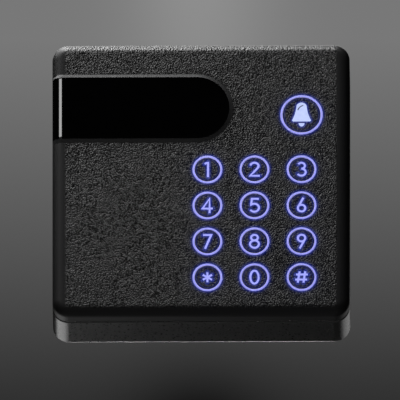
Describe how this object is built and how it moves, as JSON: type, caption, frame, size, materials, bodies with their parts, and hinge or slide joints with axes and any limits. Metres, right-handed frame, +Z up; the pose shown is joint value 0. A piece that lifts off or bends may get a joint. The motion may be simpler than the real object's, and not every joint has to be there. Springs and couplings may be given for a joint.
{
  "type": "rfid card reader",
  "caption": "Square black wall-mounted card reader with a lit round-key keypad, a bell key and a glossy status window that wraps one edge, hung on a steel wall plate.",
  "frame": {"origin": "centre of the plane that lies on the wall, at mid width and mid height of the case", "axes": "+X to the user's right, +Y into the wall, +Z up the wall; the keypad faces -Y"},
  "size_m": [0.12, 0.0316, 0.118],
  "materials": {
    "cover_plastic": "coarse moulded grain",
    "key_plastic": "coarse moulded grain",
    "housing_plastic": "fine satin grain",
    "window_plastic": "smoked, polished",
    "lit_guide": "frosted, lit",
    "diffuser": "frosted",
    "silicone": "matt silicone",
    "carbon": "matt",
    "black_rubber": "matt",
    "steel_plate": "zinc plated",
    "spring_steel": "bright",
    "zinc_steel": "zinc plated",
    "label_film": "satin film",
    "board": "solder mask",
    "lamp": "clear",
    "chip": "moulded epoxy",
    "can": "sleeved",
    "pale_nylon": "natural nylon",
    "copper": "enamelled wire",
    "terminal_green": "moulded",
    "clamp_brass": "plain"
  },
  "bodies": {
    "wall_plate": {"wall_plate": "steel_plate", "latch_spring": "spring_steel", "latch_rivets": "zinc_steel"},
    "reader": {"rear_housing": "housing_plastic", "rear_label": "label_film", "cable_grommet": "black_rubber", "case_screws": "zinc_steel", "case_gasket": "black_rubber", "front_cover": "cover_plastic", "led_window": "window_plastic", "status_light_guide": "diffuser", "key_light_guide": "lit_guide", "keypad_mat": "silicone", "contact_pills": "carbon", "main_board": "board", "board_screws": "zinc_steel", "backlight_leds": "lamp", "status_leds": "lamp", "mcu_chip": "chip", "rf_chip": "chip", "crystal": "zinc_steel", "regulator": "chip", "capacitors": "can", "buzzer": "chip", "antenna_frame": "pale_nylon", "antenna_coil": "copper", "coil_connector": "pale_nylon", "terminal_block": "terminal_green", "terminal_screws": "zinc_steel", "terminal_clamps": "clamp_brass", "tamper_switch": "chip", "tamper_spring": "spring_steel"},
    "key_1": {"key_1": "key_plastic"},
    "key_2": {"key_2": "key_plastic"},
    "key_3": {"key_3": "key_plastic"},
    "key_4": {"key_4": "key_plastic"},
    "key_5": {"key_5": "key_plastic"},
    "key_6": {"key_6": "key_plastic"},
    "key_7": {"key_7": "key_plastic"},
    "key_8": {"key_8": "key_plastic"},
    "key_9": {"key_9": "key_plastic"},
    "key_star": {"key_star": "key_plastic"},
    "key_0": {"key_0": "key_plastic"},
    "key_hash": {"key_hash": "key_plastic"},
    "key_bell": {"key_bell": "key_plastic"},
    "tamper_plunger": {"tamper_plunger": "pale_nylon"}
  },
  "joints": [
    {"name": "reader_lift", "type": "slide", "parent": "wall_plate", "child": "reader", "axis": [0, 0, 1], "range_m": [0, 0.006], "deforming": ["latch_spring"]},
    {"name": "key_1_press", "type": "slide", "parent": "reader", "child": "key_1", "axis": [0, 1, 0], "range_m": [0, 0.001], "stiffness_N_per_m": 300, "springref_m": -0.0005, "deforming": ["keypad_mat", "contact_pills"]},
    {"name": "key_2_press", "type": "slide", "parent": "reader", "child": "key_2", "axis": [0, 1, 0], "range_m": [0, 0.001], "stiffness_N_per_m": 300, "springref_m": -0.0005, "deforming": ["keypad_mat", "contact_pills"]},
    {"name": "key_3_press", "type": "slide", "parent": "reader", "child": "key_3", "axis": [0, 1, 0], "range_m": [0, 0.001], "stiffness_N_per_m": 300, "springref_m": -0.0005, "deforming": ["keypad_mat", "contact_pills"]},
    {"name": "key_4_press", "type": "slide", "parent": "reader", "child": "key_4", "axis": [0, 1, 0], "range_m": [0, 0.001], "stiffness_N_per_m": 300, "springref_m": -0.0005, "deforming": ["keypad_mat", "contact_pills"]},
    {"name": "key_5_press", "type": "slide", "parent": "reader", "child": "key_5", "axis": [0, 1, 0], "range_m": [0, 0.001], "stiffness_N_per_m": 300, "springref_m": -0.0005, "deforming": ["keypad_mat", "contact_pills"]},
    {"name": "key_6_press", "type": "slide", "parent": "reader", "child": "key_6", "axis": [0, 1, 0], "range_m": [0, 0.001], "stiffness_N_per_m": 300, "springref_m": -0.0005, "deforming": ["keypad_mat", "contact_pills"]},
    {"name": "key_7_press", "type": "slide", "parent": "reader", "child": "key_7", "axis": [0, 1, 0], "range_m": [0, 0.001], "stiffness_N_per_m": 300, "springref_m": -0.0005, "deforming": ["keypad_mat", "contact_pills"]},
    {"name": "key_8_press", "type": "slide", "parent": "reader", "child": "key_8", "axis": [0, 1, 0], "range_m": [0, 0.001], "stiffness_N_per_m": 300, "springref_m": -0.0005, "deforming": ["keypad_mat", "contact_pills"]},
    {"name": "key_9_press", "type": "slide", "parent": "reader", "child": "key_9", "axis": [0, 1, 0], "range_m": [0, 0.001], "stiffness_N_per_m": 300, "springref_m": -0.0005, "deforming": ["keypad_mat", "contact_pills"]},
    {"name": "key_star_press", "type": "slide", "parent": "reader", "child": "key_star", "axis": [0, 1, 0], "range_m": [0, 0.001], "stiffness_N_per_m": 300, "springref_m": -0.0005, "deforming": ["keypad_mat", "contact_pills"]},
    {"name": "key_0_press", "type": "slide", "parent": "reader", "child": "key_0", "axis": [0, 1, 0], "range_m": [0, 0.001], "stiffness_N_per_m": 300, "springref_m": -0.0005, "deforming": ["keypad_mat", "contact_pills"]},
    {"name": "key_hash_press", "type": "slide", "parent": "reader", "child": "key_hash", "axis": [0, 1, 0], "range_m": [0, 0.001], "stiffness_N_per_m": 300, "springref_m": -0.0005, "deforming": ["keypad_mat", "contact_pills"]},
    {"name": "key_bell_press", "type": "slide", "parent": "reader", "child": "key_bell", "axis": [0, 1, 0], "range_m": [0, 0.001], "stiffness_N_per_m": 300, "springref_m": -0.0005, "deforming": ["keypad_mat", "contact_pills"]},
    {"name": "tamper_release", "type": "slide", "parent": "reader", "child": "tamper_plunger", "axis": [0, 1, 0], "range_m": [0, 0.0015], "deforming": ["tamper_spring"]}
  ]
}
